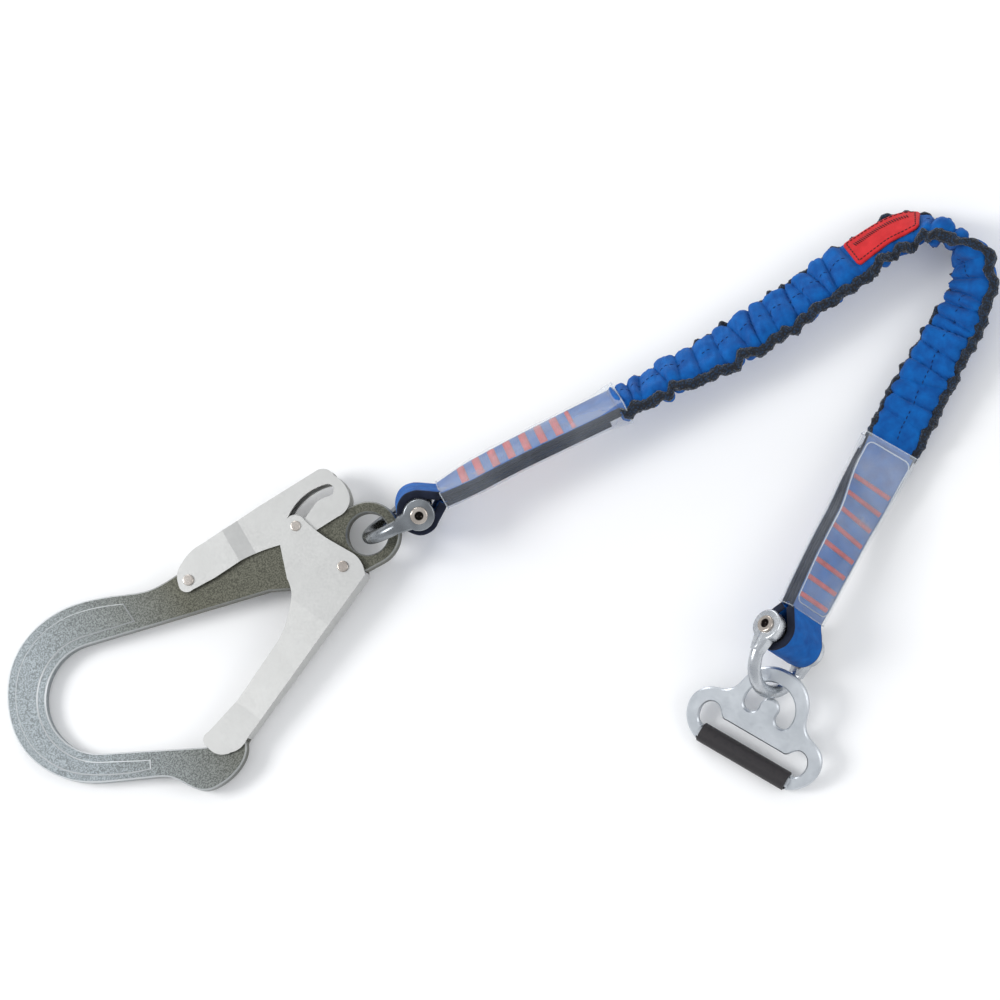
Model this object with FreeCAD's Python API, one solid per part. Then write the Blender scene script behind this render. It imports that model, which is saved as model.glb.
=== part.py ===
import FreeCAD, Part
import math
import os

V = FreeCAD.Vector

# Shock absorbing lanyard, millimetres, +Z up.
# Plan layout: x runs along the hook from its bow (x = 0) to its eye, and the
# strap carries on along +x, folds back at its far end and returns to the plate.

ORIGIN_SHIFT = V(-153.6, 94.35, 0)

# ---- hook ------------------------------------------------------------------
HOOK_TILT = 3.0
BODY_HALF = 3.9
PAD_HALF = 4.6
BOW_INNER_R = 30.8
BOW_OUTER_R = 53.4
EYE_X = 175.5
EYE_HOLE_R = 11.75
EYE_OUTER_R = 18.0
HOOK_LIFT = 7.35

GATE_PIVOT = (154.9, -9.3)
LOCK_PIN = (143.4, 24.2)
LEVER_PIVOT = (76.4, 30.0)
RIVET_R = 2.0
RIVET_HEAD_R = 3.1
RIVET_HEAD_H = 1.2
LOCK_PIN_R = 1.8
RUN_FIT = 0.08
THROUGH = 40.0

SHEET = 1.5
LEVER_INNER = 4.3
LEVER_INNER_WIDE = 5.3
GATE_INNER = 6.2
GATE_INNER_NARROW = 4.4

# ---- shackles --------------------------------------------------------------
SHACKLE_BAR_R = 3.7
SHACKLE_BOW_R = 20.0
SHACKLE_ARM = 11.0
BOSS_R = 8.75
BOSS_T = 7.0
PIN_R = 4.0
PIN_HEAD_R = 4.9
PIN_HEAD_H = 1.5

# ---- harness plate ---------------------------------------------------------
PLATE_T = 4.5
PLATE_TILT = 18.0
PLATE_ORIGIN = V(300.6, -205.9, 0)
PLATE_TURN = -61.2
ROLLER_R = 5.5
ROLLER_LEN = 54.6
BAR_R = 3.5
BAR_V = -11.3
RING_CENTRE = (0, 19.4)

# ---- strap -----------------------------------------------------------------
WEB_W = 30.0
STACK_T = 8.5
COVER_W = 34.0
COVER_T = 10.0
FACE_W = 25.0
CORE_W = 20.0
CORE_T = 4.6
LOOP_R = 10.2
BUSH_R = 6.0
BUSH_PROUD = 0.8
STITCH_GAP = 0.12
STITCH_T = 0.4
SLEEVE_MARGIN = 2.6
SLEEVE_T = 0.8
CORE_GAP = 0.4
LOOP_LEN = 15.0
STITCH_BARS = 8
STITCH_HALF_W = 12.0
ARC_SHARE = 0.45
STATION_STEP = 7.0

PIN_1 = V(206.0, -3.4, 25.3)
PIN_2 = V(344.7, -171.4, 25.0)
ROUTE = [
    PIN_1,
    V(250, -4.2, 25.3),
    V(299, -7.9, 23.6),
    V(346, -11.2, 20.2),
    V(394, -13.9, 19.4),
    V(440, -13, 19.2),
    V(482, -8.5, 19.2),
    V(519, -7, 19.2),
    V(538.5, -28, 19),
    V(534, -56, 17.4),
    V(487, -81, 13.4),
    V(452, -103, 11.8),
    V(415, -126.5, 18),
    V(380, -148.5, 25),
    PIN_2,
]
# distance along the strap, and how far its upper edge leans to the right of travel
ROLL = [(0, 21), (40, 33), (130, 36), (200, 55), (270, 58), (306, 50), (336, 4), (364, -50),
        (400, -70), (445, -88), (480, -115), (520, -138), (600, -150)]


def build_route():
    """Straight runs joined by tangent arcs, as one wire."""
    arcs = []
    for i in range(1, len(ROUTE) - 1):
        before = ROUTE[i - 1] - ROUTE[i]
        after = ROUTE[i + 1] - ROUTE[i]
        shorter = min(before.Length, after.Length)
        half_turn = (math.pi - before.getAngle(after)) / 2
        setback = ARC_SHARE * shorter
        radius = setback / math.tan(half_turn)
        first = ROUTE[i] + before.normalize() * setback
        last = ROUTE[i] + after.normalize() * setback
        inward = (before + after).normalize()
        to_centre = radius / math.cos(half_turn)
        middle = ROUTE[i] + inward * (to_centre - radius)
        arcs.append((first, middle, last, radius))
    edges = []
    start = ROUTE[0]
    for first, middle, last, radius in arcs:
        edges.append(Part.LineSegment(start, first).toShape())
        edges.append(Part.Arc(first, middle, last).toShape())
        start = last
    edges.append(Part.LineSegment(start, ROUTE[-1]).toShape())
    return Part.Wire(edges), [radius for first, middle, last, radius in arcs]


PATH, RADII = build_route()
LENGTH = PATH.Length


def roll_at(s):
    for (s0, a0), (s1, a1) in zip(ROLL, ROLL[1:]):
        if s <= s1:
            t = max(0.0, (s - s0) / (s1 - s0))
            ease = t * t * (3 - 2 * t)
            return math.radians(a0 + (a1 - a0) * ease)
    return math.radians(ROLL[-1][1])


def point_at(s):
    left = min(max(s, 0.0), LENGTH)
    for edge in PATH.OrderedEdges:
        if left <= edge.Length + 1e-6:
            where = edge.getParameterByLength(min(left, edge.Length))
            point = edge.valueAt(where)
            return point
        left -= edge.Length
    return ROUTE[-1]


def frame_at(s):
    """Point on the strap, travel direction, width direction and face normal."""
    point = point_at(s)
    travel = (point_at(min(s + 0.5, LENGTH)) - point_at(max(s - 0.5, 0))).normalize()
    right = travel.cross(V(0, 0, 1)).normalize()
    up = right.cross(travel).normalize()
    roll = roll_at(s)
    width = up * math.cos(roll) + right * math.sin(roll)
    face = up * math.sin(roll) - right * math.cos(roll)
    return point, travel, width, face


def strap_section(s, w0, w1, n0, n1, bevel):
    """Flat eight-sided section between width w0..w1 and thickness n0..n1."""
    point, travel, width, face = frame_at(s)
    b = bevel
    corners = [(w0 + b, n0), (w1 - b, n0), (w1, n0 + b), (w1, n1 - b),
               (w1 - b, n1), (w0 + b, n1), (w0, n1 - b), (w0, n0 + b)]
    points = [point + width * w + face * n for w, n in corners]
    return Part.makePolygon(points + points[:1])


def strap_solid(s0, s1, w0, w1, n0, n1, bevel=1.0, step=STATION_STEP):
    count = max(2, int(math.ceil((s1 - s0) / step)) + 1)
    sections = []
    for i in range(count):
        s = s0 + (s1 - s0) * i / (count - 1)
        sections.append(strap_section(s, w0, w1, n0, n1, bevel))
    return Part.makeLoft(sections, True, True)


def prism(edges, z0, z1):
    """Flat outline of lines and arcs, raised from z0 to z1."""
    face = Part.Face(Part.Wire(edges))
    face.translate(V(0, 0, z0))
    return face.extrude(V(0, 0, z1 - z0))


def outline(steps):
    """Closed outline of flat steps: a step of one point adds a line, of two points an
    arc through the first, of more points a smooth curve through them all."""
    edges = []
    start = V(steps[0][0], steps[0][1], 0)
    at = start
    for step in steps[1:]:
        points = [V(step[i], step[i + 1], 0) for i in range(0, len(step), 2)]
        if len(points) == 1:
            edges.append(Part.LineSegment(at, points[0]).toShape())
        elif len(points) == 2:
            edges.append(Part.Arc(at, points[0], points[1]).toShape())
        else:
            curve = Part.BSplineCurve()
            curve.interpolate([at] + points)
            edges.append(curve.toShape())
        at = points[-1]
    if at.distanceToPoint(start) > 1e-6:
        edges.append(Part.LineSegment(at, start).toShape())
    return edges


def tangent_point(point, centre, radius, side):
    """Where a line from the point touches the circle, on its left (1) or right (-1)."""
    dx = point[0] - centre[0]
    dy = point[1] - centre[1]
    away = math.degrees(math.atan2(dy, dx))
    spread = math.degrees(math.acos(radius / math.hypot(dx, dy)))
    return polar(centre, radius, away + side * spread)


def polar(centre, radius, degrees):
    a = math.radians(degrees)
    return (centre[0] + radius * math.cos(a), centre[1] + radius * math.sin(a))


def rod(x, y, radius, z0, z1):
    return Part.makeCylinder(radius, z1 - z0, V(x, y, z0))


def bevel(shape, size, half):
    """Break the sharp edges round the two flat faces at heights -half and +half."""
    rims = [edge for edge in shape.Edges
            if edge.BoundBox.ZLength < 1e-6 and abs(abs(edge.BoundBox.ZMax) - half) < 1e-6]
    return shape.makeChamfer(size, rims)


def hook_place(shape):
    shape.rotate(V(0, 0, 0), V(0, 1, 0), -HOOK_TILT)
    shape.translate(V(0, 0, HOOK_LIFT))
    return shape


# ---- hook body ---------------------------------------------------------------

def make_hook_body():
    bow = (0, 0)
    shank_end = (112, 1.6)
    nose_inner = (38.5, -55.2)
    eye = (EYE_X, 0)
    shoulder = (144.6, 21.6)
    pivot_corner = (147, -16.6)
    steps = [
        tangent_point(shank_end, bow, BOW_INNER_R, 1),
        polar(bow, BOW_INNER_R, 180) + tangent_point(nose_inner, bow, BOW_INNER_R, -1),
        nose_inner,
        (46, -56.4, 54, -58.6, 59.4, -62.6),
        (56.8, -68.6, 48.6, -74.6, 37, -77.2, 25.4, -75.2, 19.2, -68.4, 12.4, -58.8, 3.5, -53.6,
         -10, -47.2, -23.7, -40.4, -36.7, -31.2, -46, -19, -51.2, -5, -51.6, 8.5, -47, 24.2,
         -38, 38.4, -25.5, 48.4, -10, 53.7, 7, 54.3, 26, 49.4, 42, 42.4, 53, 38, 62, 36.8,
         80, 37.6),
        shoulder,
        tangent_point(shoulder, eye, EYE_OUTER_R, -1),
        polar(eye, EYE_OUTER_R, 0) + tangent_point(pivot_corner, eye, EYE_OUTER_R, 1),
        pivot_corner,
        shank_end,
    ]
    body = prism(outline(steps), -BODY_HALF, BODY_HALF)
    body = body.cut(rod(EYE_X, 0, EYE_HOLE_R, -THROUGH, THROUGH))
    body = bevel(body, 0.8, BODY_HALF)

    pad_r = BOW_INNER_R + 4.6
    pad_top = (38.6, 26.5)
    pad_low = (8, -44.9)
    pad_steps = [
        tangent_point(pad_top, bow, pad_r, 1),
        polar(bow, pad_r, 180) + tangent_point(pad_low, bow, pad_r, -1),
        pad_low,
        (5.6, -49.6),
        (-8, -44.4, -22, -36.9, -33.5, -28.4, -42, -17, -46.4, -4.6, -46.8, 8, -42.8, 22,
         -34.4, 34.8, -23, 43.8, -9, 48.8, 5.5, 49.4, 24, 44.8, 37.8, 38.8),
        pad_top,
    ]
    for side in (-1, 1):
        low = min(0, side * PAD_HALF)
        pad = prism(outline(pad_steps), low, low + PAD_HALF)
        rim = [e for e in pad.Edges if abs(e.BoundBox.ZMax - e.BoundBox.ZMin) < 1e-6
               and abs(e.CenterOfMass.z - side * PAD_HALF) < 1e-6]
        body = body.fuse(pad.makeChamfer(0.65, rim))
    body = body.cut(rod(GATE_PIVOT[0], GATE_PIVOT[1], RIVET_R, -THROUGH, THROUGH))
    body = body.cut(rod(LEVER_PIVOT[0], LEVER_PIVOT[1], RIVET_R, -THROUGH, THROUGH))
    return body.removeSplitter()


# ---- gate and safety lever ---------------------------------------------------

def sheet_channel(steps, cavity_steps, outer_profile, inner_profile, turn, about):
    """Folded sheet channel: outline prism limited by a stepped thickness profile.

    The profiles are half thicknesses along the length; turn lines them up with
    the piece's long direction. The cavity outline leaves the folded spine standing.
    """
    def limiter(profile):
        up = [V(x, -300, h) for x, h in profile]
        down = [V(x, -300, -h) for x, h in reversed(profile)]
        face = Part.Face(Part.makePolygon(up + down + up[:1]))
        solid = face.extrude(V(0, 600, 0))
        solid.rotate(V(0, 0, 0), V(0, 0, 1), turn)
        solid.translate(V(about[0], about[1], 0))
        return solid
    outer = prism(outline(steps), -THROUGH, THROUGH).common(limiter(outer_profile))
    inner = prism(outline(cavity_steps), -THROUGH, THROUGH).common(limiter(inner_profile))
    return outer, inner


def make_gate():
    steps = [
        (146.8, 29.2),
        (143, 30.6, 139.5, 28.8),
        (134.4, 25.2, 131, 20.8),
        (124.6, 1.3),
        (122.6, -7, 117.7, -13.3),
        (110, -21, 98.6, -27.8),
        (67.2, -42),
        (44, -48.8),
        (39, -51.5, 39.4, -56),
        (42.6, -62.4, 49.2, -65.2),
        (55, -65.8, 60.1, -63.6),
        (163.0, -19.8),
        (164.8, -12.5, 163.4, -6),
        (156.9, 5.5),
        (151.6, 17, 148.7, 27),
    ]
    cavity = [
        (147, 40),
        (110, 40),
        (110, -5),
        (20, -30),
        (20, -80),
        (61.2, -80),
        (61.2, -61.5),
        (161.9, -18.6),
        (190, -10),
        (190, 40),
    ]
    end = 200
    wide = GATE_INNER
    slim = GATE_INNER_NARROW
    inner_profile = [(-end, slim), (-95, slim), (-31, wide), (end, wide)]
    outer_profile = [(x, h + SHEET) for x, h in inner_profile]
    outer, inner = sheet_channel(steps, cavity, outer_profile, inner_profile, 23.3, GATE_PIVOT)
    gate = outer.cut(inner)
    gate = gate.cut(rod(GATE_PIVOT[0], GATE_PIVOT[1], RIVET_R + RUN_FIT, -THROUGH, THROUGH))
    gate = gate.cut(rod(LOCK_PIN[0], LOCK_PIN[1], LOCK_PIN_R, -THROUGH, THROUGH))
    return gate


def curved_slot(start, middle, end, width):
    """Upright cutter along an arc, with round ends."""
    a, m, b = [V(p[0], p[1], -THROUGH) for p in (start, middle, end)]
    centre = Part.Arc(a, m, b).toShape().Curve.Center
    outward = [(p - centre).normalize() * (width / 2) for p in (a, m, b)]
    outer = [p + d for p, d in zip((a, m, b), outward)]
    inner = [p - d for p, d in zip((a, m, b), outward)]
    edges = [
        Part.Arc(*outer).toShape(),
        Part.LineSegment(outer[2], inner[2]).toShape(),
        Part.Arc(*inner).toShape(),
        Part.LineSegment(inner[0], outer[0]).toShape(),
    ]
    face = Part.Face(Part.Wire(edges))
    slot = face.extrude(V(0, 0, 2 * THROUGH))
    for p in (a, b):
        slot = slot.fuse(Part.makeCylinder(width / 2, 2 * THROUGH, p))
    return slot


def make_lever():
    steps = [
        (78, 40.2),
        (84, 42.8, 93, 43.6),
        (130, 45),
        (168, 45.2),
        (173.4, 43.4, 175.6, 38),
        (178.2, 28, 176.6, 21.4),
        (172.5, 17.6, 166, 16.6),
        (150, 16.4),
        (134, 18.8),
        (122, 22.2, 108, 24),
        (90, 23.4),
        (75.6, 24.2),
        (70.6, 26.4, 70.4, 31),
        (72.4, 36, 78, 40.2),
    ]
    cavity = [
        (60, 38.4),
        (79, 38.6),
        (94, 42.0),
        (130, 43.4),
        (167.6, 43.6),
        (190, 43.6),
        (190, 0),
        (60, 0),
    ]
    inner_profile = [(-60, LEVER_INNER_WIDE), (30, LEVER_INNER_WIDE), (40, LEVER_INNER), (160, LEVER_INNER)]
    outer_profile = [(x, h + SHEET) for x, h in inner_profile]
    outer, inner = sheet_channel(steps, cavity, outer_profile, inner_profile, 0, LEVER_PIVOT)
    lever = outer.cut(inner)
    lever = lever.cut(rod(LEVER_PIVOT[0], LEVER_PIVOT[1], RIVET_R + RUN_FIT, -THROUGH, THROUGH))
    lever = lever.cut(curved_slot((141.6, 26.4), (152.6, 32.6), (168.6, 32.4), 7.0))
    lever = lever.cut(curved_slot(LOCK_PIN, (155.7, 30.8), (166.4, 34.2), 2 * (LOCK_PIN_R + 0.6)))
    return lever


def rivet(at, radius, half, head_r, head_h):
    shaft = rod(at[0], at[1], radius, -half, half)
    for side in (-1, 1):
        low = half if side > 0 else -half - head_h
        head = rod(at[0], at[1], head_r, low, low + head_h)
        dome = [e for e in head.Edges if abs(e.CenterOfMass.z - side * (half + head_h)) < 1e-6]
        shaft = shaft.fuse(head.makeFillet(head_h * 0.6, dome))
    return shaft


def torsion_spring(at, height, coil_r, wire_r, leg):
    coil = Part.makeTorus(coil_r, wire_r, V(at[0], at[1], height))
    reach = V(leg[0] - at[0], leg[1] - at[1], 0)
    across = V(-reach.y, reach.x, 0).normalize() * coil_r
    start = V(at[0], at[1], height) + across - reach * 0.1
    return coil.fuse(Part.makeCylinder(wire_r, reach.Length, start, reach))


# ---- shackles and plate ------------------------------------------------------

def shackle_arm(z0):
    """Flat shoulder that tapers from an eye boss into the round bar."""
    wide = BOSS_R * 0.78
    slim = SHACKLE_BAR_R * 0.9
    tip = -SHACKLE_ARM - 4
    edges = outline([(0, -wide), (0, wide), (tip, slim), (tip, -slim)])
    arm = prism(edges, z0, z0 + BOSS_T)
    rims = [e for e in arm.Edges if e.BoundBox.ZLength < 1e-6 and e.BoundBox.XLength > 1]
    return arm.makeChamfer(1.0, rims)


def make_shackle():
    """D-bow of round bar with two flat eye bosses; pin along z, bow toward -x."""
    r = SHACKLE_BOW_R
    top = V(-2, 0, r)
    turn_top = V(-SHACKLE_ARM, 0, r)
    tip = V(-SHACKLE_ARM - r, 0, 0)
    turn_low = V(-SHACKLE_ARM, 0, -r)
    low = V(-2, 0, -r)
    path = Part.Wire([
        Part.LineSegment(top, turn_top).toShape(),
        Part.Arc(turn_top, tip, turn_low).toShape(),
        Part.LineSegment(turn_low, low).toShape(),
    ])
    ring = Part.Wire(Part.Circle(top, V(1, 0, 0), SHACKLE_BAR_R).toShape())
    bow = path.makePipeShell([ring], True, False)
    for side in (-1, 1):
        z0 = side * r - BOSS_T / 2
        boss = rod(0, 0, BOSS_R, z0, z0 + BOSS_T)
        boss = boss.makeFillet(1.0, [e for e in boss.Edges if e.Closed])
        bow = bow.fuse(boss).fuse(shackle_arm(z0))
    return bow.cut(rod(0, 0, PIN_R, -THROUGH, THROUGH))


def make_shackle_pin():
    half = SHACKLE_BOW_R + BOSS_T / 2
    pin = rivet((0, 0), PIN_R, half, PIN_HEAD_R, PIN_HEAD_H)
    dimple = Part.makeSphere(2.6, V(0, 0, half + PIN_HEAD_H + 1.2))
    return pin.cut(dimple)


def plate_place(shape):
    shape.rotate(V(0, BAR_V, 0), V(1, 0, 0), PLATE_TILT)
    shape.rotate(V(0, 0, 0), V(0, 0, 1), PLATE_TURN)
    shape.translate(PLATE_ORIGIN + V(0, 0, ROLLER_R))
    return shape


def mirror_x(run):
    """The same run of x, y values on the other side of x = 0."""
    return tuple(-value if i % 2 == 0 else value for i, value in enumerate(run))


def reverse(run):
    """The same run of x, y values taken from its far end."""
    pairs = [run[i:i + 2] for i in range(0, len(run), 2)]
    return tuple(value for pair in reversed(pairs) for value in pair)


def make_plate():
    rim = (27.6, -15.8, 33.8, -12.4, 38.8, -6.5, 40.8, 1, 39, 8.6, 33.6, 13.6, 27, 16.2,
           22.8, 19.8, 20.6, 25, 18.6, 31.4, 12.4, 38.8)
    opening = (27.6, -7.2, 30.9, -6.2, 33, -2, 32.8, 3, 29.8, 6.8, 25.6, 7.2, 22.4, 4.4,
               20.2, 2.0, 17.6, 1.6)
    steps = [
        rim[:2],
        rim[2:] + (0, 42.4) + reverse(mirror_x(rim)),
        (-opening[0], opening[1]),
        mirror_x(opening)[2:],
        opening[-2:],
        reverse(opening)[2:],
    ]
    plate = prism(outline(steps), -PLATE_T / 2, PLATE_T / 2)
    cx, cy = RING_CENTRE
    slot = curved_slot((cx - 9.9, cy - 2.2), (cx, cy + 10.1), (cx + 9.9, cy - 2.2), 9.2)
    plate = plate.cut(slot)
    plate = bevel(plate, 0.8, PLATE_T / 2)
    bar = Part.makeCylinder(BAR_R, 58, V(-29, BAR_V, 0), V(1, 0, 0))
    return plate.fuse(bar)


def make_roller():
    tube = Part.makeCylinder(ROLLER_R, ROLLER_LEN, V(-ROLLER_LEN / 2, BAR_V, 0), V(1, 0, 0))
    tube = tube.makeFillet(0.5, [e for e in tube.Edges if e.Closed])
    return tube.cut(Part.makeCylinder(BAR_R + RUN_FIT, 80, V(-40, BAR_V, 0), V(1, 0, 0)))


# ---- strap pieces --------------------------------------------------------------

def loop_solid():
    """Webbing folded round its bush: round nose narrowing to the sewn stack, axis z."""
    half = STACK_T / 2
    lean = math.degrees(math.acos((LOOP_R - half) / LOOP_LEN))
    touch = polar((0, 0), LOOP_R, lean)
    edges = outline([
        (LOOP_LEN, -half),
        (touch[0], -touch[1]),
        (-LOOP_R, 0) + touch,
        (LOOP_LEN, half),
    ])
    loop = prism(edges, -WEB_W / 2, WEB_W / 2)
    return loop.cut(rod(0, 0, BUSH_R, -THROUGH, THROUGH))


def bush_solid():
    half = WEB_W / 2 + BUSH_PROUD
    bush = rod(0, 0, BUSH_R, -half, half)
    return bush.cut(rod(0, 0, PIN_R + RUN_FIT, -THROUGH, THROUGH))


def strap_place(shape, s, inward, up):
    """Set a piece on the strap at distance s: local x along it, local z across its width."""
    point, travel, width, face = frame_at(s)
    along = travel * inward
    axis = width * up
    across = axis.cross(along)
    moved = shape.copy()
    moved.Placement = FreeCAD.Placement(FreeCAD.Matrix(
        along.x, across.x, axis.x, point.x,
        along.y, across.y, axis.y, point.y,
        along.z, across.z, axis.z, point.z,
        0, 0, 0, 1))
    return moved


def stitch_bars(first, step, bar):
    """Bar tacks across the webbing, one on each face."""
    bars = []
    low = STACK_T / 2 + STITCH_GAP
    high = low + STITCH_T
    for i in range(STITCH_BARS):
        s = first + i * step
        for n0, n1 in ((low, high), (-high, -low)):
            bars.append(strap_solid(s, s + bar, -STITCH_HALF_W, STITCH_HALF_W, n0, n1, 0.1, bar))
    return Part.makeCompound(bars)


def sleeve(s0, s1):
    """Clear tube round the sewn stack, with a welded margin along both edges."""
    half_w = WEB_W / 2 + 0.5
    half_n = STACK_T / 2 + 0.7
    wide = WEB_W / 2 + SLEEVE_MARGIN
    thick = half_n + SLEEVE_T
    outer = strap_solid(s0, s1, -wide, wide, -thick, thick, 3.0)
    inner = strap_solid(s0 - 0.01, s1 + 0.01, -half_w, half_w, -half_n, half_n, 0.2)
    return outer.cut(inner)


def frame_ring(s0, s1, half, n0, n1, band):
    """Flat stitched border just inside the edge of the label."""
    outer = strap_solid(s0, s1, -half, half, n0, n1, 0.05, 5)
    inner = strap_solid(s0 + band, s1 - band, -half + band, half - band, n0 - 1, n1 + 1, 0.05, 5)
    return outer.cut(inner)


SEWN_1 = (LOOP_LEN, 128.0)
SEWN_2 = (LENGTH - 122.5, LENGTH - LOOP_LEN)
SLEEVE_1 = (16.0, 127.0)
SLEEVE_2 = (LENGTH - 121.0, LENGTH - 16.0)
COVER = (SEWN_1[1] + 0.3, SEWN_2[0] - 0.3)
LABEL = (277.0, 318.0)
HALF_FACE = FACE_W / 2
HALF_STACK = STACK_T / 2

parts = {}
parts["hook_body"] = hook_place(make_hook_body())
parts["gate_rivet"] = hook_place(rivet(GATE_PIVOT, RIVET_R, GATE_INNER + SHEET + 0.2, RIVET_HEAD_R, RIVET_HEAD_H))
parts["lever_rivet"] = hook_place(
    rivet(LEVER_PIVOT, RIVET_R, LEVER_INNER_WIDE + SHEET + 0.2, RIVET_HEAD_R, RIVET_HEAD_H))
parts["gate_spring"] = hook_place(torsion_spring(GATE_PIVOT, BODY_HALF + 1.0, 3.2, 0.6, (142.5, -12.5)))
parts["lever_spring"] = hook_place(torsion_spring(LEVER_PIVOT, BODY_HALF + 0.7, 3.0, 0.45, (92, 30)))
parts["gate"] = hook_place(make_gate())
parts["lock_pin"] = hook_place(rivet(LOCK_PIN, LOCK_PIN_R, GATE_INNER + SHEET, 2.9, 1.1))
parts["safety_lever"] = hook_place(make_lever())

for end, s, inward in (("1", 0, 1), ("2", LENGTH, -1)):
    parts["shackle_" + end] = strap_place(make_shackle(), s, inward, inward)
    parts["shackle_" + end + "_pin"] = strap_place(make_shackle_pin(), s, inward, inward)
    parts["bush_" + end] = strap_place(bush_solid(), s, inward, inward)
    parts["loop_" + end] = strap_place(loop_solid(), s, inward, inward)

parts["harness_plate"] = plate_place(make_plate())
parts["roller"] = plate_place(make_roller())

parts["sewn_strap_1"] = strap_solid(SEWN_1[0] + 0.1, SEWN_1[1], -WEB_W / 2, WEB_W / 2, -HALF_STACK, HALF_STACK)
parts["stitch_bars_1"] = stitch_bars(28.8, 9.6, 4.4)
parts["sleeve_1"] = sleeve(*SLEEVE_1)
parts["absorber_core"] = strap_solid(COVER[0], COVER[1], -CORE_W / 2, CORE_W / 2, -CORE_T / 2, CORE_T / 2, 0.5)
cover_outside = strap_solid(COVER[0], COVER[1], -HALF_FACE, HALF_FACE, -COVER_T / 2, COVER_T / 2, 0.8)
bore_w = CORE_W / 2 + CORE_GAP
bore_n = CORE_T / 2 + CORE_GAP
cover_bore = strap_solid(COVER[0] - 0.01, COVER[1] + 0.01, -bore_w, bore_w, -bore_n, bore_n, 0.4)
parts["elastic_cover"] = cover_outside.cut(cover_bore)
for name, side in (("edge_elastic_1", 1), ("edge_elastic_2", -1)):
    w0, w1 = sorted((side * (HALF_FACE + 0.4), side * COVER_W / 2))
    parts[name] = strap_solid(COVER[0], COVER[1], w0, w1, -COVER_T / 2 + 0.8, COVER_T / 2 - 0.8, 1.2)
parts["label"] = strap_solid(LABEL[0], LABEL[1], -10, 10, COVER_T / 2 + 0.5, COVER_T / 2 + 1.4, 0.2, 6)
parts["label_stitching"] = frame_ring(
    LABEL[0] + 1.5, LABEL[1] - 1.5, 8.6, COVER_T / 2 + 1.6, COVER_T / 2 + 1.95, 1.0)
parts["sewn_strap_2"] = strap_solid(SEWN_2[0], SEWN_2[1] - 0.1, -WEB_W / 2, WEB_W / 2, -HALF_STACK, HALF_STACK)
parts["stitch_bars_2"] = stitch_bars(LENGTH - 96.5, 10.2, 2.8)
parts["sleeve_2"] = sleeve(*SLEEVE_2)

os.makedirs("parts", exist_ok=True)
for name, shape in parts.items():
    shape.translate(ORIGIN_SHIFT)
    shape.exportStep("parts/" + name + ".step")
    print(name, "valid" if shape.isValid() else "INVALID", "solids", len(shape.Solids), round(shape.Volume, 1))

print("route length", round(LENGTH, 1), "arc radii", [round(radius, 1) for radius in RADII])
cover = strap_solid(COVER[0], COVER[1], -HALF_FACE, HALF_FACE, -COVER_T / 2, COVER_T / 2, 0.0001)
print("strap volume ratio", round(cover.Volume / (FACE_W * COVER_T * (COVER[1] - COVER[0])), 3))
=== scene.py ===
import bisect
import collections
import math
import random

import bpy
from mathutils import Matrix, Vector, noise


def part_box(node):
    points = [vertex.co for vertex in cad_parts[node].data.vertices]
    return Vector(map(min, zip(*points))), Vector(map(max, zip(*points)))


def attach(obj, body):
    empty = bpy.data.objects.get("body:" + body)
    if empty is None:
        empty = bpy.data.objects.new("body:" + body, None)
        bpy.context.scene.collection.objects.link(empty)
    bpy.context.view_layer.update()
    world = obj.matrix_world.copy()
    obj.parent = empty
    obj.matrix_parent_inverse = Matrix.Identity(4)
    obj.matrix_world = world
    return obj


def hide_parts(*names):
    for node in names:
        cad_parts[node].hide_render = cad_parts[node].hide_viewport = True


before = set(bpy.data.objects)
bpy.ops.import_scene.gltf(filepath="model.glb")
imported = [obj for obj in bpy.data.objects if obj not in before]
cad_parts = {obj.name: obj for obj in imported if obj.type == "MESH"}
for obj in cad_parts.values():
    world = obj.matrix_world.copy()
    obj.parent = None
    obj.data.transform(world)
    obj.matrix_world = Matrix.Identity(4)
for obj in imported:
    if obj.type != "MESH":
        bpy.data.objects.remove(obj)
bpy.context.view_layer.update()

MM = 0.001
rng = random.Random(18)

# ---- the strap's line, as the CAD lays it, in millimetres --------------------
ORIGIN_SHIFT = Vector((-153.6, 94.35, 0))
ROUTE = [
    (206, -3.4, 25.3), (250, -4.2, 25.3), (299, -7.9, 23.6), (346, -11.2, 20.2),
    (394, -13.9, 19.4), (440, -13, 19.2), (482, -8.5, 19.2), (519, -7, 19.2),
    (538.5, -28, 19), (534, -56, 17.4), (487, -81, 13.4), (452, -103, 11.8),
    (415, -126.5, 18), (380, -148.5, 25), (344.7, -171.4, 25),
]
# distance along the strap, and how far its upper edge leans right of travel, in degrees
ROLL = [(0, 21), (40, 33), (130, 36), (200, 55), (270, 58), (306, 50), (336, 4), (364, -50),
        (400, -70), (445, -88), (480, -115), (520, -138), (600, -150)]
STRAP_LEN = 588.3
TRAVEL_SPAN = 3.0               # the direction of travel is taken over this far each way
FRAME_STEP = 1.0

# ---- sizes of the strap's pieces, in millimetres -----------------------------
WEB_HALF = 15.0                 # half the width of the webbing
PLY_T = 2.7                     # one ply of webbing
STACK_HALF = 4.25               # half the thickness of a sewn stack
LOOP_LEN = 15.0                 # from the shackle pin to where a loop's two sides meet
LOOP_R = 10.2                   # the loop round its bush
BUSH_R = 6.0
COVER_START = 123.0
COVER_END = STRAP_LEN - 119.0
COVER_HALF_T = 4.6
FACE_HALF = 12.6                # half the width of the cover's blue face
LABEL = (277.0, 318.0)          # the label's two ends along the strap
LABEL_HALF = 10.2
LABEL_T = 0.9
# each end's clear sleeve and sewn stack, as distances from that end
SLEEVE = {1: (15.5, 127.0), 2: (15.5, 121.0)}
SEWN = {1: 124.0, 2: 120.0}
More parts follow.
